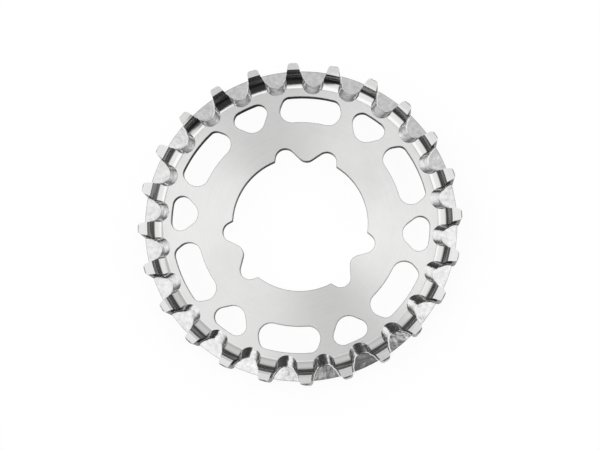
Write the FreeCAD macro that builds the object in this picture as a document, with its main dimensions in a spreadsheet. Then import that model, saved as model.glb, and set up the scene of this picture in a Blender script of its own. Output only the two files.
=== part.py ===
"""Toothed-belt sprocket for an internal-gear bicycle hub, machined from one plate of stainless steel.

Frame: the bore axis is Z, and the origin lies in the middle plane of the centre fin.
+Z is the outer side, where the thin plate is flush with the shoulder of the rim.
+Y runs through one lobe of the bore, through the middle of one large window and of one tooth gap.
Lengths are in millimetres and angles in degrees.
"""
import FreeCAD, Part
import math
import os
import Sketcher
from FreeCAD import Vector

TINY = 1e-4
MIN_CUT = 0.01

doc = FreeCAD.newDocument("sprocket")

SIZES = [
    ("teeth_count", 24, "teeth round the rim"),
    ("belt_pitch", 11, "distance from tooth to tooth along the belt's cord line"),
    ("crest_drop", 0.75, "cord line to the tooth crest"),
    ("teeth_width", 12.6, "tooth end to tooth end, along the axis"),
    ("land_depth", 1.8, "radial depth of the flat tooth end"),
    ("land_bevel", 0.62, "radial width of the bevel between tooth end and cove"),
    ("bevel_angle", 25, "slope of that bevel"),
    ("end_edge", 0.3, "bevel between tooth end and crest"),
    ("rim_width", 5.2, "shoulder to shoulder, where the coves start"),
    ("rim_depth", 7.5, "crest to the inner wall of the rim, at the back"),
    ("rim_bevel", 0.4, "bevel between the back of the plate and the rim"),
    ("plate_thickness", 2.3, "plate, as the hub's snap ring needs it"),
    ("fin_thickness", 1.7, "centre fin that guides the belt"),
    ("fin_drop", 1.05, "tooth crest to the edge of the fin"),
    ("groove_depth", 4.65, "tooth crest to the bottom of the gap"),
    ("groove_radius", 3.7, "round bottom of the gap"),
    ("flank_angle", 16, "lean of a tooth flank from the radial line"),
    ("crest_round", 1.1, "rounding of the crest towards each flank"),
    ("crest_overrun", 0.03, "how far the circle of that rounding stands past the crest"),
    ("fin_fillet", 0.65, "fillet between the fin and the gap's wall"),
    ("relief_radius", 2.8, "half width of the sloped mud relief"),
    ("front_run", 1.29, "shoulder that the front relief takes, inside the start of the cove"),
    ("back_run", 0.73, "the same at the back, where the wall of the rim is near"),
    ("relief_lead", 0.05, "how far inside the gap's bottom the relief meets the fin"),
    ("cut_clearance", 1, "how far a cut runs past the metal"),
    ("window_margin", 0.1969, "plate left between a window and the bevel of the rim"),
    ("window_depth", 6.79, "outer to inner edge of every window"),
    ("window_count", 6, "windows of each kind"),
    ("large_outer_half", 7.14, "large window, half width at the outer corners"),
    ("large_inner_half", 9.37, "large window, half width at the inner corners"),
    ("large_outer_corner", 2.17, "large window, outer corner radius"),
    ("large_inner_corner", 3.2, "large window, inner corner radius"),
    ("small_outer_half", 6.97, "small window, half width at the outer corners"),
    ("small_outer_corner", 2.42, "small window, outer corner radius"),
    ("small_tip_radius", 3.3, "small window, round inner tip"),
    ("bore_radius", 17.4, "bore that sits on the hub's driver"),
    ("lobe_count", 3, "driving lobes in the bore"),
    ("lobe_tip_radius", 16.2, "centre to the tip of a lobe"),
    ("lobe_radius", 2.5, "round tip of a lobe"),
    ("notch_radius", 2.55, "round notch beside a lobe"),
    ("notch_angle", 18, "notch centre from the lobe's middle"),
    ("corner_angle", 27.4, "end of the notch from the lobe's middle"),
    ("sector_overlap", 4, "how far one bore cut runs into the next"),
]
DERIVED = [
    ("crest_radius", "=teeth_count * belt_pitch / (2 * pi) - crest_drop"),
    ("fin_radius", "=crest_radius - fin_drop"),
    ("rim_inner_radius", "=crest_radius - rim_depth"),
    ("groove_centre", "=crest_radius - groove_depth + groove_radius"),
    ("relief_drop", "=(rim_width - fin_thickness) / 2"),
    ("cove_radius", "=(teeth_width - rim_width) / 2"),
    ("cove_start", "=crest_radius - land_depth - land_bevel - cove_radius"),
    ("front_relief_start", "=cove_start - front_run"),
    ("back_relief_start", "=cove_start - back_run"),
    ("groove_bottom", "=crest_radius - groove_depth"),
    ("fin_root", "=(rim_inner_radius + groove_bottom - relief_lead) / 2"),
    ("plate_back", "=rim_width / 2 - plate_thickness"),
    ("window_outer_radius", "=rim_inner_radius - rim_bevel - window_margin"),
    ("window_inner_radius", "=window_outer_radius - window_depth"),
]

sheet = doc.addObject("Spreadsheet::Sheet", "Dimensions")
for row, (name, size, meaning) in enumerate(SIZES, start=1):
    sheet.set("A%d" % row, meaning)
    sheet.set("B%d" % row, str(size))
    sheet.setAlias("B%d" % row, name)
for row, (name, formula) in enumerate(DERIVED, start=len(SIZES) + 2):
    sheet.set("B%d" % row, formula)
    sheet.setAlias("B%d" % row, name)
doc.recompute()

body = doc.addObject("PartDesign::Body", "sprocket")
body.Label = "sprocket"


def size(name):
    """A value from the sheet as a plain number."""
    return float(sheet.get(name))


def origin_plane(role):
    """One of the body's own origin planes."""
    return next(item for item in body.Origin.OriginFeatures if item.Role == role)


def new_sketch(name, role="XY_Plane", height=None, turn=None):
    """A sketch on an origin plane, lifted and turned as written in terms of the sheet."""
    sketch = body.newObject("Sketcher::SketchObject", name)
    sketch.AttachmentSupport = [(origin_plane(role), "")]
    sketch.MapMode = "FlatFace"
    if height:
        sketch.setExpression("AttachmentOffset.Base.z", height)
    if turn:
        sketch.setExpression("AttachmentOffset.Rotation.Angle", turn)
    return sketch


def polar(radius, degrees):
    """A point at a radius and at an angle measured from +Y towards +X."""
    return radius * math.sin(math.radians(degrees)), radius * math.cos(math.radians(degrees))


def unit(start, end):
    """The direction from one point to another."""
    length = math.dist(start, end)
    return (end[0] - start[0]) / length, (end[1] - start[1]) / length


def foot(point, start, end):
    """The foot of the perpendicular from a point to the line through start and end."""
    way = unit(start, end)
    along = (point[0] - start[0]) * way[0] + (point[1] - start[1]) * way[1]
    return start[0] + way[0] * along, start[1] + way[1] * along


def centre_beside_line(start, end, offset, radius):
    """Where a circle's centre lies: offset to the left of a line, at a radius from the origin."""
    way = unit(start, end)
    base = foot((0, 0), start, end)
    base = base[0] - way[1] * offset, base[1] + way[0] * offset
    reach = math.sqrt(radius ** 2 - base[0] ** 2 - base[1] ** 2)
    return base[0] + way[0] * reach, base[1] + way[1] * reach


def scaled(point, length):
    """The point in the same direction from the origin, at another distance."""
    factor = length / math.hypot(*point)
    return point[0] * factor, point[1] * factor


def mirrored(point):
    """The same point on the other side of the Y axis."""
    return -point[0], point[1]


def add_line(sketch, start, end):
    return sketch.addGeometry(Part.LineSegment(Vector(*start, 0), Vector(*end, 0)), False), 1, 2


def add_arc(sketch, start, end, centre):
    """The shorter arc about a centre. Its ends are numbered in the order given, not in its own."""
    angles = [math.atan2(point[1] - centre[1], point[0] - centre[0]) for point in (start, end)]
    forward = (angles[1] - angles[0]) % (2 * math.pi) <= math.pi
    if not forward:
        angles.reverse()
    circle = Part.Circle(Vector(*centre, 0), Vector(0, 0, 1), math.dist(start, centre))
    index = sketch.addGeometry(Part.ArcOfCircle(circle, *angles), False)
    return (index, 1, 2) if forward else (index, 2, 1)


def outline(sketch, pieces, corners=()):
    """Draws a closed outline and joins its ends, smoothly except after the pieces listed as corners.

    A piece is (start, end) for a line or (start, end, centre) for an arc.
    """
    drawn = [add_line(sketch, *piece) if len(piece) == 2 else add_arc(sketch, *piece) for piece in pieces]
    for number, (index, start, end) in enumerate(drawn):
        following = drawn[(number + 1) % len(drawn)]
        kind = "Coincident" if number in corners else "Tangent"
        sketch.addConstraint(Sketcher.Constraint(kind, index, end, following[0], following[1]))
    return drawn


def set_radius(sketch, pieces, formula):
    """Ties the radius of arcs to the sheet."""
    for piece in pieces:
        radius = sketch.Geometry[piece[0]].Radius
        number = sketch.addConstraint(Sketcher.Constraint("Radius", piece[0], radius))
        sketch.setExpression("Constraints[%d]" % number, formula)


def set_place(sketch, piece, point, across=None, up=None):
    """Ties a point of a piece to the sheet: 1 and 2 are its own ends, 3 is an arc's centre."""
    here = sketch.getPoint(piece[0], point)
    for kind, value, formula in (("DistanceX", here.x, across), ("DistanceY", here.y, up)):
        if formula:
            constraint = Sketcher.Constraint(kind, -1, 1, piece[0], point, value)
            sketch.setExpression("Constraints[%d]" % sketch.addConstraint(constraint), formula)


def set_angle(sketch, piece, formula):
    """Ties the direction of a line to the sheet, as an angle from the sketch's X axis."""
    line = sketch.Geometry[piece[0]]
    way = line.EndPoint - line.StartPoint
    number = sketch.addConstraint(Sketcher.Constraint("Angle", piece[0], math.atan2(way.y, way.x)))
    sketch.setExpression("Constraints[%d]" % number, formula)


def set_level(sketch, kind, pieces):
    """Keeps lines horizontal or vertical."""
    for piece in pieces:
        sketch.addConstraint(Sketcher.Constraint(kind, piece[0]))


def centre_on_axis(sketch, pieces):
    """Puts the centres of arcs on the axis of the bore."""
    for piece in pieces:
        sketch.addConstraint(Sketcher.Constraint("Coincident", piece[0], 3, -1, 1))


def feature(kind, name, sketch, **settings):
    """A feature made from a sketch."""
    made = body.newObject("PartDesign::" + kind, name)
    made.Profile = (sketch, [""])
    for key, value in settings.items():
        setattr(made, key, value)
    return made


def cut(name, sketch, formulas=(), **settings):
    """A pocket that has to take something away. The formulas tie its settings to the sheet."""
    before = body.Shape.Volume
    pocket = feature("Pocket", name, sketch, **settings)
    for key, formula in formulas:
        pocket.setExpression(key, formula)
    doc.recompute()
    if not before - pocket.Shape.Volume > MIN_CUT:
        raise RuntimeError("the cut %s takes nothing away" % name)
    return pocket


def repeat_round_axis(name, originals, sketch, occurrences):
    """Repeats features round the axis of the bore."""
    pattern = body.newObject("PartDesign::PolarPattern", name)
    pattern.Originals = originals
    pattern.Axis = (sketch, ["N_Axis"])
    pattern.Angle = 360
    pattern.setExpression("Occurrences", occurrences)
    body.Tip = pattern
    doc.recompute()
    return pattern


def turned_blank():
    """The blank as it leaves the lathe: plate, rim with a cove on each side, and tooth ring."""
    half_teeth = size("teeth_width") / 2
    half_rim = size("rim_width") / 2
    crest = size("crest_radius")
    edge = size("end_edge")
    bevel = size("rim_bevel")
    land = crest - size("land_depth")
    radius = size("cove_radius")
    cove_start = size("cove_start")
    slope = math.radians(size("bevel_angle"))
    depth = (land - cove_start) * math.sin(slope)
    reach = (land - cove_start) * math.cos(slope) - math.sqrt(radius ** 2 - depth ** 2)
    cove_end = land - reach * math.cos(slope)
    cove_top = half_teeth - reach * math.sin(slope)
    rim = size("rim_inner_radius")
    back = size("plate_back")
    sketch = new_sketch("blank_profile", "XZ_Plane")
    pieces = [
        ((0, half_rim), (cove_start, half_rim)),
        ((cove_start, half_rim), (cove_end, cove_top), (cove_start, half_teeth)),
        ((cove_end, cove_top), (land, half_teeth)),
        ((land, half_teeth), (crest - edge, half_teeth)),
        ((crest - edge, half_teeth), (crest, half_teeth - edge)),
        ((crest, half_teeth - edge), (crest, edge - half_teeth)),
        ((crest, edge - half_teeth), (crest - edge, -half_teeth)),
        ((crest - edge, -half_teeth), (land, -half_teeth)),
        ((land, -half_teeth), (cove_end, -cove_top)),
        ((cove_end, -cove_top), (cove_start, -half_rim), (cove_start, -half_teeth)),
        ((cove_start, -half_rim), (rim, -half_rim)),
        ((rim, -half_rim), (rim, back - bevel)),
        ((rim, back - bevel), (rim - bevel, back)),
        ((rim - bevel, back), (0, back)),
        ((0, back), (0, half_rim)),
    ]
    drawn = outline(sketch, pieces, corners=(1, 2, 3, 4, 5, 6, 7, 8, 10, 11, 12, 13, 14))
    front, front_cove, front_bevel, front_end, _, crest_line, _, back_end = drawn[:8]
    back_bevel, back_cove, shoulder, rim_wall, _, plate_back, axis = drawn[8:]
    land_radius = "Dimensions.crest_radius - Dimensions.land_depth"
    edge_radius = "Dimensions.crest_radius - Dimensions.end_edge"
    set_level(sketch, "Horizontal", (front, front_end, back_end, shoulder, plate_back))
    set_level(sketch, "Vertical", (crest_line, rim_wall, axis))
    set_place(sketch, front, 1, "0", "Dimensions.rim_width / 2")
    set_radius(sketch, (front_cove, back_cove), "Dimensions.cove_radius")
    for cove in (front_cove, back_cove):
        set_place(sketch, cove, 3, "Dimensions.cove_start")
    set_angle(sketch, front_bevel, "Dimensions.bevel_angle * 1 deg")
    set_angle(sketch, back_bevel, "(180 - Dimensions.bevel_angle) * 1 deg")
    set_place(sketch, front_end, 1, land_radius, "Dimensions.teeth_width / 2")
    set_place(sketch, front_end, 2, edge_radius)
    edge_height = "Dimensions.teeth_width / 2 - Dimensions.end_edge"
    set_place(sketch, crest_line, 1, "Dimensions.crest_radius", edge_height)
    set_place(sketch, crest_line, 2, None, "Dimensions.end_edge - Dimensions.teeth_width / 2")
    set_place(sketch, back_end, 1, edge_radius)
    set_place(sketch, back_end, 2, land_radius, "-Dimensions.teeth_width / 2")
    set_place(sketch, shoulder, 1, None, "-Dimensions.rim_width / 2")
    set_place(sketch, rim_wall, 1, "Dimensions.rim_inner_radius")
    set_place(sketch, rim_wall, 2, None, "Dimensions.plate_back - Dimensions.rim_bevel")
    set_place(sketch, plate_back, 1, "Dimensions.rim_inner_radius - Dimensions.rim_bevel")
    set_place(sketch, plate_back, 2, None, "Dimensions.plate_back")
    feature("Revolution", "turned_blank", sketch, ReferenceAxis=(sketch, ["V_Axis"]), Angle=360)
    doc.recompute()


def side_guide(sketch, lower, upper):
    """A construction line along the side of a window, through its corners before they are rounded."""
    guide = add_line(sketch, lower, upper)
    sketch.setConstruction(guide[0], True)
    return guide


def large_windows():
    """Six wide windows: concentric inner and outer edges, leaning sides and round corners."""
    outer, inner = size("window_outer_radius"), size("window_inner_radius")
    outer_corner, inner_corner = size("large_outer_corner"), size("large_inner_corner")
    upper = size("large_outer_half"), math.sqrt(outer ** 2 - size("large_outer_half") ** 2)
    lower = size("large_inner_half"), math.sqrt(inner ** 2 - size("large_inner_half") ** 2)
    outer_centre = centre_beside_line(lower, upper, outer_corner, outer - outer_corner)
    inner_centre = centre_beside_line(lower, upper, inner_corner, inner + inner_corner)
    outer_end, inner_end = scaled(outer_centre, outer), scaled(inner_centre, inner)
    side_top, side_bottom = foot(outer_centre, lower, upper), foot(inner_centre, lower, upper)
    sketch = new_sketch("large_window_outline", height="Dimensions.rim_width / 2")
    pieces = [
        (mirrored(outer_end), outer_end, (0, 0)),
        (outer_end, side_top, outer_centre),
        (side_top, side_bottom),
        (side_bottom, inner_end, inner_centre),
        (inner_end, mirrored(inner_end), (0, 0)),
        (mirrored(inner_end), mirrored(side_bottom), mirrored(inner_centre)),
        (mirrored(side_bottom), mirrored(side_top)),
        (mirrored(side_top), mirrored(outer_end), mirrored(outer_centre)),
    ]
    drawn = outline(sketch, pieces)
    outer_arc, right_top, right_side, right_bottom, inner_arc, left_bottom, left_side, left_top = drawn
    centre_on_axis(sketch, (outer_arc, inner_arc))
    set_radius(sketch, (outer_arc,), "Dimensions.window_outer_radius")
    set_radius(sketch, (inner_arc,), "Dimensions.window_inner_radius")
    set_radius(sketch, (right_top, left_top), "Dimensions.large_outer_corner")
    set_radius(sketch, (right_bottom, left_bottom), "Dimensions.large_inner_corner")
    for sign, place, side in (("", lambda point: point, right_side), ("-", mirrored, left_side)):
        guide = side_guide(sketch, place(lower), place(upper))
        sketch.addConstraint(Sketcher.Constraint("PointOnObject", guide[0], 1, inner_arc[0]))
        sketch.addConstraint(Sketcher.Constraint("PointOnObject", guide[0], 2, outer_arc[0]))
        set_place(sketch, guide, 1, sign + "Dimensions.large_inner_half")
        set_place(sketch, guide, 2, sign + "Dimensions.large_outer_half")
        sketch.addConstraint(Sketcher.Constraint("Tangent", side[0], guide[0]))
    window = cut("large_window", sketch, Type="ThroughAll")
    repeat_round_axis("large_windows", [window], sketch, "Dimensions.window_count")


def small_windows():
    """Six rounded triangles between the wide windows, each with its tip towards the bore."""
    outer, inner = size("window_outer_radius"), size("window_inner_radius")
    corner, tip = size("small_outer_corner"), size("small_tip_radius")
    upper = size("small_outer_half"), math.sqrt(outer ** 2 - size("small_outer_half") ** 2)
    tip_centre = 0, inner + tip
    way = math.atan2(tip_centre[1] - upper[1], tip_centre[0] - upper[0])
    way += math.asin(tip / math.dist(upper, tip_centre))
    lower = upper[0] + corner * math.cos(way), upper[1] + corner * math.sin(way)
    side_bottom = foot(tip_centre, lower, upper)
    corner_centre = centre_beside_line(lower, upper, corner, outer - corner)
    outer_end, side_top = scaled(corner_centre, outer), foot(corner_centre, lower, upper)
    turn = "180 deg / Dimensions.window_count"
    sketch = new_sketch("small_window_outline", height="Dimensions.rim_width / 2", turn=turn)
    pieces = [
        (mirrored(outer_end), outer_end, (0, 0)),
        (outer_end, side_top, corner_centre),
        (side_top, side_bottom),
        (side_bottom, mirrored(side_bottom), tip_centre),
        (mirrored(side_bottom), mirrored(side_top)),
        (mirrored(side_top), mirrored(outer_end), mirrored(corner_centre)),
    ]
    drawn = outline(sketch, pieces)
    outer_arc, right_top, right_side, tip_arc, left_side, left_top = drawn
    centre_on_axis(sketch, (outer_arc,))
    set_radius(sketch, (outer_arc,), "Dimensions.window_outer_radius")
    set_radius(sketch, (right_top, left_top), "Dimensions.small_outer_corner")
    set_radius(sketch, (tip_arc,), "Dimensions.small_tip_radius")
    set_place(sketch, tip_arc, 3, "0", "Dimensions.window_inner_radius + Dimensions.small_tip_radius")
    for sign, place, side in (("", lambda point: point, right_side), ("-", mirrored, left_side)):
        guide = side_guide(sketch, place(side_bottom), place(upper))
        sketch.addConstraint(Sketcher.Constraint("PointOnObject", guide[0], 2, outer_arc[0]))
        set_place(sketch, guide, 2, sign + "Dimensions.small_outer_half")
        lower_end = side[2] if side is right_side else side[1]
        sketch.addConstraint(Sketcher.Constraint("Tangent", side[0], lower_end, guide[0], 1))
    window = cut("small_window", sketch, Type="ThroughAll")
    repeat_round_axis("small_windows", [window], sketch, "Dimensions.window_count")


def bore():
    """The bore, cut as equal sectors that overlap: each has one lobe with a round notch on either side."""
    radius, lobe, notch = size("bore_radius"), size("lobe_radius"), size("notch_radius")
    sector_end = polar(radius, 180 / size("lobe_count") + size("sector_overlap"))
    corner = polar(radius, size("corner_angle"))
    notch_centre = polar(radius, size("notch_angle"))
    lobe_centre = 0, size("lobe_tip_radius") + lobe
    lean = math.atan2(notch_centre[1] - lobe_centre[1], notch_centre[0] - lobe_centre[0])
    lean -= math.acos((lobe + notch) / math.dist(lobe_centre, notch_centre))
    lobe_end = lobe_centre[0] + lobe * math.cos(lean), lobe_centre[1] + lobe * math.sin(lean)
    notch_start = notch_centre[0] - notch * math.cos(lean), notch_centre[1] - notch * math.sin(lean)
    lean = math.atan2(corner[1] - notch_centre[1], corner[0] - notch_centre[0])
    lean += math.acos(notch / math.dist(corner, notch_centre))
    notch_end = notch_centre[0] + notch * math.cos(lean), notch_centre[1] + notch * math.sin(lean)
    sketch = new_sketch("bore_outline", height="Dimensions.rim_width / 2")
    pieces = [
        ((0, 0), sector_end),
        (sector_end, corner, (0, 0)),
        (corner, notch_end),
        (notch_end, notch_start, notch_centre),
        (notch_start, lobe_end),
        (lobe_end, mirrored(lobe_end), lobe_centre),
        (mirrored(lobe_end), mirrored(notch_start)),
        (mirrored(notch_start), mirrored(notch_end), mirrored(notch_centre)),
        (mirrored(notch_end), mirrored(corner)),
        (mirrored(corner), mirrored(sector_end), (0, 0)),
        (mirrored(sector_end), (0, 0)),
    ]
    drawn = outline(sketch, pieces, corners=(0, 1, 8, 9, 10))
    first, right_bore, right_notch, lobe_arc = drawn[0], drawn[1], drawn[3], drawn[5]
    left_notch, left_bore, last = drawn[7], drawn[9], drawn[10]
    sketch.addConstraint(Sketcher.Constraint("Coincident", first[0], 1, -1, 1))
    set_angle(sketch, first, "(90 - 180 / Dimensions.lobe_count - Dimensions.sector_overlap) * 1 deg")
    set_angle(sketch, last, "(180 / Dimensions.lobe_count + Dimensions.sector_overlap - 90) * 1 deg")
    centre_on_axis(sketch, (right_bore, left_bore))
    set_radius(sketch, (right_bore, left_bore), "Dimensions.bore_radius")
    set_radius(sketch, (right_notch, left_notch), "Dimensions.notch_radius")
    set_radius(sketch, (lobe_arc,), "Dimensions.lobe_radius")
    set_place(sketch, lobe_arc, 3, "0", "Dimensions.lobe_tip_radius + Dimensions.lobe_radius")
    across = "Dimensions.bore_radius * sin(Dimensions.%s * 1 deg)"
    up = "Dimensions.bore_radius * cos(Dimensions.notch_angle * 1 deg)"
    set_place(sketch, right_notch, 3, across % "notch_angle", up)
    set_place(sketch, left_notch, 3, "-" + across % "notch_angle", up)
    set_place(sketch, right_bore, right_bore[2], across % "corner_angle")
    set_place(sketch, left_bore, left_bore[1], "-" + across % "corner_angle")
    sector = cut("bore_sector", sketch, Type="ThroughAll")
    repeat_round_axis("bore", [sector], sketch, "Dimensions.lobe_count")


def groove():
    """One tooth gap, cut right through: round bottom, leaning flanks and rounded tooth crests."""
    radius, crest_round = size("groove_radius"), size("crest_round")
    lean = math.radians(size("flank_angle"))
    top = size("crest_radius") + size("cut_clearance")
    flank = radius * math.cos(lean), size("groove_centre") - radius * math.sin(lean)
    beyond = flank[0] + math.sin(lean), flank[1] + math.cos(lean)
    reach = size("crest_radius") - crest_round + size("crest_overrun")
    round_centre = centre_beside_line(flank, beyond, -crest_round, reach)
    round_start = foot(round_centre, flank, beyond)
    round_end = round_centre[0], round_centre[1] + crest_round
    corner = round_centre[0], top
    sketch = new_sketch("groove_outline", height="Dimensions.teeth_width / 2")
    pieces = [
        (mirrored(flank), flank, (0, size("groove_centre"))),
        (flank, round_start),
        (round_start, round_end, round_centre),
        (round_end, corner),
        (corner, mirrored(corner)),
        (mirrored(corner), mirrored(round_end)),
        (mirrored(round_end), mirrored(round_start), mirrored(round_centre)),
        (mirrored(round_start), mirrored(flank)),
    ]
    drawn = outline(sketch, pieces, corners=(2, 3, 4, 5))
    bottom, right_flank, right_round, right_end, closing, left_end, left_round, left_flank = drawn
    set_place(sketch, bottom, 3, "0", "Dimensions.groove_centre")
    set_radius(sketch, (bottom,), "Dimensions.groove_radius")
    set_angle(sketch, right_flank, "(90 - Dimensions.flank_angle) * 1 deg")
    set_angle(sketch, left_flank, "(Dimensions.flank_angle - 90) * 1 deg")
    set_radius(sketch, (right_round, left_round), "Dimensions.crest_round")
    set_level(sketch, "Vertical", (right_end, left_end))
    set_level(sketch, "Horizontal", (closing,))
    set_place(sketch, closing, 1, None, "Dimensions.crest_radius + Dimensions.cut_clearance")
    for rounding, end in ((right_round, right_round[2]), (left_round, left_round[1])):
        centre = sketch.getPoint(rounding[0], 3)
        guide = add_line(sketch, (0, 0), (centre.x, centre.y))
        sketch.setConstruction(guide[0], True)
        sketch.addConstraint(Sketcher.Constraint("Coincident", guide[0], 1, -1, 1))
        sketch.addConstraint(Sketcher.Constraint("Coincident", guide[0], 2, rounding[0], 3))
        number = sketch.addConstraint(Sketcher.Constraint("Distance", guide[0], reach))
        formula = "Dimensions.crest_radius - Dimensions.crest_round + Dimensions.crest_overrun"
        sketch.setExpression("Constraints[%d]" % number, formula)
        sketch.addConstraint(Sketcher.Constraint("Vertical", rounding[0], end, rounding[0], 3))
    return cut("groove", sketch, Type="ThroughAll"), sketch


def relief(side, name):
    """The sloped mud relief on one side of a gap: a round-bottomed slot from the shoulder to the fin."""
    radius = size("relief_radius")
    centre = size(name + "_start") + radius
    top = size("crest_radius") + size("cut_clearance")
    sketch = new_sketch(name + "_outline", height="%d * Dimensions.rim_width / 2" % side)
    pieces = [
        ((-radius, centre), (radius, centre), (0, centre)),
        ((radius, centre), (radius, top)),
        ((radius, top), (-radius, top)),
        ((-radius, top), (-radius, centre)),
    ]
    bottom, right, closing, left = outline(sketch, pieces, corners=(1, 2))
    set_place(sketch, bottom, 3, "0", "Dimensions.%s_start + Dimensions.relief_radius" % name)
    set_radius(sketch, (bottom,), "Dimensions.relief_radius")
    set_level(sketch, "Vertical", (right, left))
    set_level(sketch, "Horizontal", (closing,))
    set_place(sketch, closing, 1, None, "Dimensions.crest_radius + Dimensions.cut_clearance")
    height = [("Length", "Dimensions.cove_radius + Dimensions.cut_clearance")]
    outward = cut(name + "_outward", sketch, height, Reversed=side > 0)
    formulas = [
        ("Direction.y", "Dimensions.groove_bottom - Dimensions.relief_lead - Dimensions.%s_start" % name),
        ("Direction.z", "%d * Dimensions.relief_drop" % -side),
        ("Length", "Dimensions.relief_drop"),
    ]
    settings = {"UseCustomVector": True, "Direction": Vector(0, 1, -side), "AlongSketchNormal": True}
    return [outward, cut(name + "_slope", sketch, formulas, **settings)]


def tooth_gaps():
    """All tooth gaps, with a mud relief on each side of where the fin will stand."""
    first, sketch = groove()
    originals = [first] + relief(1, "front_relief") + relief(-1, "back_relief")
    repeat_round_axis("gaps", originals, sketch, "Dimensions.teeth_count")


def centre_fin():
    """The thin fin that runs round in the middle of the gaps and guides the belt."""
    sketch = new_sketch("fin_outline")
    for name in ("fin_radius", "fin_root"):
        circle = sketch.addGeometry(Part.Circle(Vector(0, 0, 0), Vector(0, 0, 1), size(name)), False)
        centre_on_axis(sketch, ((circle,),))
        set_radius(sketch, ((circle,),), "Dimensions." + name)
    fin = feature("Pad", "centre_fin", sketch, SideType="Symmetric")
    fin.setExpression("Length", "Dimensions.fin_thickness")
    body.Tip = fin
    doc.recompute()
    return fin


def fin_fillets(fin):
    """Fillets between the fin's faces and the walls of the gaps and reliefs."""
    half = size("fin_thickness") / 2
    names = []
    for number, edge in enumerate(fin.Shape.Edges, start=1):
        box = edge.BoundBox
        on_face = box.ZLength < TINY and abs(abs(box.Center.z) - half) < TINY
        middle = edge.valueAt((edge.FirstParameter + edge.LastParameter) / 2)
        if on_face and math.hypot(middle.x, middle.y) < size("fin_radius") - TINY:
            names.append("Edge%d" % number)
    fillets = body.newObject("PartDesign::Fillet", "fin_fillets")
    fillets.Base = (fin, names)
    fillets.setExpression("Radius", "Dimensions.fin_fillet")
    body.Tip = fillets
    doc.recompute()


def check():
    """Stops the build when a feature has failed or the sprocket isn't one sound solid."""
    doc.recompute()
    for item in doc.Objects:
        if "Invalid" in item.State or "Error" in item.State:
            raise RuntimeError("%s didn't build" % item.Label)
    if body.Shape.isNull() or not body.Shape.isValid() or len(body.Shape.Solids) != 1:
        raise RuntimeError("the sprocket isn't one sound solid")


turned_blank()
large_windows()
small_windows()
bore()
tooth_gaps()
fin_fillets(centre_fin())
check()
os.makedirs("parts", exist_ok=True)
body.Shape.exportStep("parts/%s.step" % body.Label)
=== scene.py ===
"""Looks for a machined belt sprocket lying on its tooth ends, seen from above.

Lengths are in metres, so a size in millimetres is written with MM. Greys go from 0 for black to 1 for
white, and the ceiling that lights the part is a little over white.
"""

import math

import bpy
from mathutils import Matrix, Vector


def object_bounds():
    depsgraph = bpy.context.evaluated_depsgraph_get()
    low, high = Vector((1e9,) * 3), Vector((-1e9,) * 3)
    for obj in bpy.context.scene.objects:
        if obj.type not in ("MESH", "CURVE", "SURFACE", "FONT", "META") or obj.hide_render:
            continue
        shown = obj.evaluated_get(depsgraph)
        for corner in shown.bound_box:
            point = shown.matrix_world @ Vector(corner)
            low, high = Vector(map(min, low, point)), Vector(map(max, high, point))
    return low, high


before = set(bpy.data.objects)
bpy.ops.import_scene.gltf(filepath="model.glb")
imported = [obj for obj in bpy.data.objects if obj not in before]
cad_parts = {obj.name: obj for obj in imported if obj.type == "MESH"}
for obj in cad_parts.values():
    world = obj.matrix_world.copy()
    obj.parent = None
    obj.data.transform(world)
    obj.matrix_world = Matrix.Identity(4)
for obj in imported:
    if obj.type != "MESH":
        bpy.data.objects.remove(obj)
cad_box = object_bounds()

MM = 0.001

# Radii on the part
OPENINGS_END = 34.0 * MM
COVE_START = 35.15 * MM
COVE_END = 39.47 * MM
# Painted dark reflection: the cove's outer ring, darkened in colour where it would mirror the dim horizon
PAINTED_REFLECTION_RING = (37.35 * MM, 38.65 * MM)
# The fin's outer edge, where a thin line of painted shade is laid
FIN_EDGE = (38.5 * MM, 39.0 * MM)

# Heights over the middle of the fin, which the underside repeats
SHOULDER = 2.6 * MM
TOOTH_END = cad_box[1][2]
FLOOR = cad_box[0][2] - 0.02 * MM
FLOOR_HALF = 1.5

# How level a face is, from 0 for a wall to 1: a mask changes between the two numbers
LEVEL_FACE = (0.9, 0.97)
WALL_FACE = (0.15, 0.35)

# Roughness of each finish, and how far the marks of the tools change it
MILLED_ROUGH = 0.2
PLATE_ROUGH = 0.4
TOOTH_END_ROUGH = 0.4
COVE_ROUGH = 0.12
RINGS_ROUGH = 0.12
CLOUDS_ROUGH = 0.1

# Rings that turning leaves: how often they change across the radius, round the axis and along it
RINGS_ACROSS = 9000.0
RINGS_ROUND = 1.2
RINGS_ALONG = 300.0

# Depth of the marks, and how strongly they show
RINGS_DEPTH = 0.02 * MM
RINGS_STRENGTH = 0.12
RIPPLE_DEPTH = 0.3 * MM
SLOPE_RIPPLE = 0.5
FIN_RIPPLE = 0.3

# Painted dark lines of shade at edges: their width, and the cosines of the rounded normal's turn between
# which they fade
EDGE_WIDTH = 0.34 * MM
EDGE_BEND = (0.85, 0.985)

# Greys of the steel, and of the painted shade and painted dark reflections laid over it
DULL_STEEL = 0.86
BRIGHT_STEEL = 0.96
COVE_STEEL = 0.8
# Painted dark reflection in the cove's outer ring
PAINTED_REFLECTION_RING_GREY = 0.3
# Painted dark reflection: walls darker than the steel, and their glancing reflection dimmed
PAINTED_WALL_REFLECTION_GREY = 0.35
PAINTED_GLANCING_REFLECTION_GREY = 0.25
# Painted shade on the walls inside the openings
PAINTED_OPENING_SHADE_GREY = 0.12
# Painted shade: dark lines at the edges of the openings and round the fin's outer edge, and how much of the
# fin's line is laid on
PAINTED_OPENING_EDGE_SHADE_GREY = 0.06
PAINTED_FIN_EDGE_SHADE_GREY = 0.1
PAINTED_FIN_EDGE_SHADE_SHARE = 0.9
SLOPE_GREY = 0.7
FIN_GREY = 0.55
MOTTLE_GREY = 0.48

# How far the mirrored direction leans outward on the milled faces
FIN_LEAN = 0.19
SLOPE_LEAN = -0.12

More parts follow.
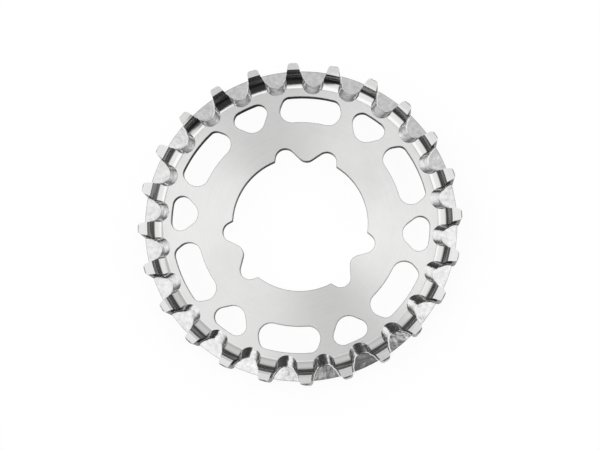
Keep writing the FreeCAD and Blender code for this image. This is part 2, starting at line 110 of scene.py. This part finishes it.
# Greys of the surroundings
CEILING_BEHIND = {"overhead": 0.53, "low": 0.69}
CEILING_LIGHT = {"overhead": 1.24, "low": 0.98}
HORIZON_GREY = 0.16
HORIZON_RIGHT = 0.4
HORIZON_FRONT = 0.05
FIGURE_GREY = 0.035
PAPER_WHITE = 0.96

# The floor: its grey where it lights the part, and what the camera sees, a faint shadow on a glow
FLOOR_GREY = 0.8
SHADOWED_GREY = 0.16
FLOOR_GLOW = 0.9

# Upward parts of a direction, 0 at the horizon and 1 overhead, between which the surroundings change
CEILING_STARTS = (0.28, 0.56)
OVERHEAD_STARTS = (0.86, 0.97)
FIGURE_TWISTS = (0.86, 0.94)

# The darker wedge of the ceiling, and the right and front parts of the horizon
WEDGE_SPREAD = 1.2
WEDGE_STARTS = (-0.16, 0.06)
RIGHT_STARTS = (0.55, 0.95)
FRONT_STARTS = (0.4, 0.85)

# A dark figure in front of the sprocket: its bearing, from -Y towards +X, turns with height, and it
# stands within a taper round that bearing, from a tilt of its own
FIGURE_BEARING = {"low": math.radians(23), "overhead": math.radians(34)}
FIGURE_TAPER = 1.15
FIGURE_STARTS = (0.07, 0.2)

# A thin screen in front of the ceiling: its sides and its lower edge, by tilt from overhead
SCREEN_SIDES = (-0.03, 0.32)
SCREEN_STARTS = (0.12, 0.24)
SCREEN_SHARE = 0.45

CAMERA_PLACE = (24.92 * MM, -47.84 * MM, 373.0 * MM)
CAMERA_TURN = (0.13269, 0.05488, 0.09261)
CAMERA_LENS = 87.69


def grey(value):
    return (value, value, value, 1.0)


def steel_grey(value):
    """A grey that is a little warm, as stainless steel is."""
    return (value, value, value - 0.005, 1.0)


class Nodes:
    """Builds a node tree with short calls."""

    def __init__(self, tree):
        self.tree = tree
        tree.nodes.clear()

    def add(self, kind, inputs=(), **settings):
        """Adds a node. An input is a plain value or the output of another node."""
        node = self.tree.nodes.new(kind)
        for key, value in settings.items():
            setattr(node, key, value)
        for key, value in dict(inputs).items():
            if isinstance(value, bpy.types.NodeSocket):
                self.tree.links.new(value, node.inputs[key])
            else:
                node.inputs[key].default_value = value
        return node

    def math(self, operation, first, second=0.0, clamp=False):
        node = self.add("ShaderNodeMath", {0: first, 1: second}, operation=operation, use_clamp=clamp)
        return node.outputs[0]

    def plus(self, first, second, clamp=False):
        return self.math("ADD", first, second, clamp)

    def minus(self, first, second):
        return self.math("SUBTRACT", first, second)

    def times(self, first, *others):
        for other in others:
            first = self.math("MULTIPLY", first, other)
        return first

    def over(self, first, second):
        return self.math("DIVIDE", first, second)

    def size(self, value):
        return self.math("ABSOLUTE", value)

    def inverse(self, mask):
        return self.minus(1.0, mask)

    def step(self, value, low, high):
        """0 below low, 1 above high, smooth between them."""
        node = self.add("ShaderNodeMapRange", {"Value": value, "From Min": low, "From Max": high},
                        interpolation_type="SMOOTHSTEP")
        return node.outputs["Result"]

    def band(self, value, low, high, soft):
        """1 between low and high, 0 outside."""
        return self.times(self.step(value, low - soft, low + soft),
                          self.inverse(self.step(value, high - soft, high + soft)))

    def blend(self, factor, first, second):
        """A number that goes from first to second."""
        node = self.add("ShaderNodeMix", {0: factor, 2: first, 3: second}, data_type="FLOAT")
        return node.outputs[0]

    def colour(self, factor, first, second):
        """A colour that goes from first to second."""
        node = self.add("ShaderNodeMix", {0: factor, 6: first, 7: second}, data_type="RGBA")
        return node.outputs[2]

    def noise(self, where, scale, detail, roughness=0.5):
        node = self.add("ShaderNodeTexNoise", {"Vector": where, "Scale": scale, "Detail": detail,
                                               "Roughness": roughness})
        return node.outputs[0]

    def split(self, vector):
        return self.add("ShaderNodeSeparateXYZ", {0: vector}).outputs

    def join(self, x, y, z):
        return self.add("ShaderNodeCombineXYZ", {0: x, 1: y, 2: z}).outputs[0]

    def vector(self, operation, inputs, output=0):
        return self.add("ShaderNodeVectorMath", inputs, operation=operation).outputs[output]

    def bump(self, height, strength, depth, normal):
        node = self.add("ShaderNodeBump", {"Height": height, "Strength": strength, "Distance": depth,
                                           "Normal": normal})
        return node.outputs[0]


def machined_steel():
    """Bare stainless steel: turned plate, coves and tooth ends, and milled gaps with a mottled floor, with
    painted shade and painted dark reflections on its walls, at its edges and in the coves' outer ring.
    """
    material = bpy.data.materials.new("machined_steel")
    material.use_nodes = True
    n = Nodes(material.node_tree)
    where = n.add("ShaderNodeTexCoord").outputs["Object"]
    x, y, z = n.split(where)
    radius = n.math("SQRT", n.plus(n.times(x, x), n.times(y, y)))
    height = n.size(z)
    geometry = n.add("ShaderNodeNewGeometry").outputs
    true_normal = geometry["True Normal"]
    facing = n.size(n.split(true_normal)[2])
    flat = n.step(facing, *LEVEL_FACE)

    # Masks of the turned faces
    plate = n.times(flat, n.inverse(n.step(radius, COVE_START - 0.05 * MM, COVE_START)))
    tooth_end = n.times(flat, n.step(height, TOOTH_END - 0.3 * MM, TOOTH_END - 0.1 * MM))
    over_shoulder = n.step(height, SHOULDER - 0.05 * MM, SHOULDER + 0.02 * MM)
    cove = n.times(n.inverse(tooth_end),
                   n.times(over_shoulder, n.band(radius, COVE_START, COVE_END, soft=0.03 * MM)))
    turned = n.math("MAXIMUM", n.math("MAXIMUM", plate, tooth_end), cove)

    # Masks of the walls and the milled faces
    wall = n.inverse(n.step(facing, *WALL_FACE))
    inner = n.inverse(n.step(radius, OPENINGS_END, OPENINGS_END + 0.2 * MM))
    milled = n.inverse(n.math("MAXIMUM", turned, wall))
    fin = n.times(milled, flat)
    slope = n.minus(milled, fin)

    # Marks of the tools: fine rings round the axis, broad clouds, and the ripple and mottle of milling
    rings = n.join(n.times(radius, RINGS_ACROSS), n.times(n.math("ARCTAN2", y, x), RINGS_ROUND),
                   n.times(z, RINGS_ALONG))
    fine = n.noise(rings, scale=1.0, detail=3.0, roughness=0.6)
    clouds = n.noise(where, scale=160.0, detail=4.0)
    ripple = n.noise(where, scale=420.0, detail=2.0)
    mottle = n.noise(where, scale=900.0, detail=4.0)

    rough = n.blend(plate, MILLED_ROUGH, PLATE_ROUGH)
    rough = n.blend(cove, rough, COVE_ROUGH)
    rough = n.blend(tooth_end, rough, TOOTH_END_ROUGH)
    rough = n.plus(rough, n.times(n.minus(fine, 0.5), RINGS_ROUGH))
    rough = n.plus(rough, n.times(n.minus(clouds, 0.5), CLOUDS_ROUGH), clamp=True)

    tone = n.plus(n.times(fine, 0.5), n.times(clouds, 0.5))
    tint = n.colour(n.step(tone, 0.3, 0.7), steel_grey(DULL_STEEL), steel_grey(BRIGHT_STEEL))
    tint = n.colour(cove, tint, steel_grey(COVE_STEEL))
    # Painted dark reflection: the cove's outer ring darkened
    tint = n.colour(n.times(cove, n.band(radius, *PAINTED_REFLECTION_RING, soft=0.12 * MM)), tint, grey(PAINTED_REFLECTION_RING_GREY))
    # Painted dark reflection: the walls darkened
    tint = n.colour(wall, tint, grey(PAINTED_WALL_REFLECTION_GREY))
    # Painted shade: the walls inside the openings darkened further
    tint = n.colour(n.times(wall, inner), tint, grey(PAINTED_OPENING_SHADE_GREY))
    shade = n.plus(n.blend(fin, SLOPE_GREY, FIN_GREY), n.times(mottle, MOTTLE_GREY))
    tint = n.colour(milled, tint, n.join(shade, shade, shade))

    # Painted shade: a thin dark line where the plate ends at an opening, and round the outer edge of the fin
    rounded = n.add("ShaderNodeBevel", {"Radius": EDGE_WIDTH}, samples=6).outputs[0]
    edge = n.inverse(n.step(n.vector("DOT_PRODUCT", {0: rounded, 1: true_normal}, "Value"), *EDGE_BEND))
    tint = n.colour(n.times(edge, plate, inner), tint, grey(PAINTED_OPENING_EDGE_SHADE_GREY))
    fin_edge_painted_shade = n.times(fin, n.step(radius, *FIN_EDGE))
    tint = n.colour(n.times(edge, fin_edge_painted_shade, PAINTED_FIN_EDGE_SHADE_SHARE), tint, grey(PAINTED_FIN_EDGE_SHADE_GREY))

    # The mirrored direction: the face's own, leaning on milled faces, with the marks of the tools
    outward = n.vector("NORMALIZE", {0: n.join(x, y, 0.0)})
    lean = n.plus(n.times(fin, FIN_LEAN), n.times(slope, SLOPE_LEAN))
    lean = n.vector("SCALE", {0: outward, "Scale": lean})
    normal = n.vector("NORMALIZE", {0: n.vector("ADD", {0: geometry["Normal"], 1: lean})})
    normal = n.bump(n.times(fine, turned), RINGS_STRENGTH, RINGS_DEPTH, normal)
    normal = n.bump(ripple, n.blend(slope, n.times(fin, FIN_RIPPLE), SLOPE_RIPPLE), RIPPLE_DEPTH, normal)
    # The walls' specular tint is a painted dark reflection that dims their glancing reflection
    shader = n.add("ShaderNodeBsdfPrincipled",
                   {"Base Color": tint, "Specular Tint": n.colour(wall, grey(1.0), grey(PAINTED_GLANCING_REFLECTION_GREY)),
                    "Metallic": 1.0, "Roughness": rough, "Anisotropic": 0.8, "Tangent": outward,
                    "Normal": normal})
    n.add("ShaderNodeOutputMaterial", {0: shader.outputs[0]})
    return material


def white_paper():
    """A pale floor that the camera and the steel see as evenly lit paper."""
    material = bpy.data.materials.new("floor")
    material.use_nodes = True
    n = Nodes(material.node_tree)
    plain = n.add("ShaderNodeBsdfDiffuse", {"Color": grey(FLOOR_GREY)}).outputs[0]
    shaded = n.add("ShaderNodeBsdfDiffuse", {"Color": grey(SHADOWED_GREY)}).outputs[0]
    glow = n.add("ShaderNodeEmission", {"Color": grey(1.0), "Strength": FLOOR_GLOW}).outputs[0]
    paper = n.add("ShaderNodeAddShader", {0: shaded, 1: glow}).outputs[0]
    path = n.add("ShaderNodeLightPath").outputs
    mirrored = n.math("MAXIMUM", path["Is Glossy Ray"], path["Is Transmission Ray"])
    seen = n.math("MAXIMUM", path["Is Camera Ray"], mirrored)
    mixed = n.add("ShaderNodeMixShader", {0: seen, 1: plain, 2: paper}).outputs[0]
    n.add("ShaderNodeOutputMaterial", {0: mixed})
    return material


def stage():
    """A wide paper floor, just under the tooth ends."""
    mesh = bpy.data.meshes.new("floor")
    corners = [(-1, -1), (1, -1), (1, 1), (-1, 1)]
    mesh.from_pydata([(x * FLOOR_HALF, y * FLOOR_HALF, FLOOR) for x, y in corners], [], [(0, 1, 2, 3)])
    floor = bpy.data.objects.new("floor", mesh)
    bpy.context.scene.collection.objects.link(floor)
    mesh.materials.append(white_paper())


def surroundings():
    """A painted sky: a bright ceiling that is darker behind, a dim horizon, and dark shapes in front.

    The camera sees it white. A tilt is the sideways part of a direction divided by its upward part.
    """
    world = bpy.data.worlds.new("surroundings")
    world.use_nodes = True
    bpy.context.scene.world = world
    n = Nodes(world.node_tree)
    dx, dy, dz = n.split(n.add("ShaderNodeTexCoord").outputs["Generated"])
    up = n.math("MAXIMUM", dz, 0.05)
    front = n.times(dy, -1.0)

    low = n.inverse(n.step(dz, *OVERHEAD_STARTS))
    behind = n.blend(low, CEILING_BEHIND["overhead"], CEILING_BEHIND["low"])
    light = n.blend(low, CEILING_LIGHT["overhead"], CEILING_LIGHT["low"])
    beside_wedge = n.over(n.minus(n.size(dx), n.times(dy, WEDGE_SPREAD)), up)
    ceiling = n.blend(n.step(beside_wedge, *WEDGE_STARTS), behind, light)

    horizon = n.blend(n.step(n.minus(dx, n.size(dy)), *RIGHT_STARTS), HORIZON_GREY, HORIZON_RIGHT)
    horizon = n.blend(n.step(front, *FRONT_STARTS), horizon, HORIZON_FRONT)
    sky = n.blend(n.step(dz, *CEILING_STARTS), horizon, ceiling)

    twist = n.step(dz, *FIGURE_TWISTS)
    toward_x, toward_y = (n.blend(twist, share(FIGURE_BEARING["low"]), share(FIGURE_BEARING["overhead"]))
                          for share in (math.sin, math.cos))
    along = n.minus(n.times(dx, toward_x), n.times(dy, toward_y))
    across = n.size(n.plus(n.times(dx, toward_y), n.times(dy, toward_x)))
    figure = n.step(n.over(n.minus(along, n.times(across, FIGURE_TAPER)), up), *FIGURE_STARTS)
    sky = n.blend(figure, sky, FIGURE_GREY)

    screen = n.times(n.band(n.over(dx, up), *SCREEN_SIDES, soft=0.03),
                     n.step(n.over(front, up), *SCREEN_STARTS))
    sky = n.blend(n.times(screen, SCREEN_SHARE), sky, FIGURE_GREY)

    seen = n.add("ShaderNodeLightPath").outputs["Is Camera Ray"]
    sky = n.blend(seen, sky, PAPER_WHITE)
    shader = n.add("ShaderNodeBackground", {"Color": n.join(sky, sky, sky), "Strength": 1.0})
    n.add("ShaderNodeOutputWorld", {0: shader.outputs[0]})


def camera():
    """Looks down on the sprocket from slightly in front and to the right."""
    data = bpy.data.cameras.new("camera")
    data.lens = CAMERA_LENS
    data.sensor_width = 36.0
    data.clip_start = 10 * MM
    made = bpy.data.objects.new("camera", data)
    made.location = CAMERA_PLACE
    made.rotation_euler = CAMERA_TURN
    bpy.context.scene.collection.objects.link(made)
    bpy.context.scene.camera = made


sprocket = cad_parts["sprocket"]
sprocket.data.materials.clear()
sprocket.data.materials.append(machined_steel())
stage()
surroundings()
camera()
bpy.context.scene.view_settings.view_transform = "Standard"
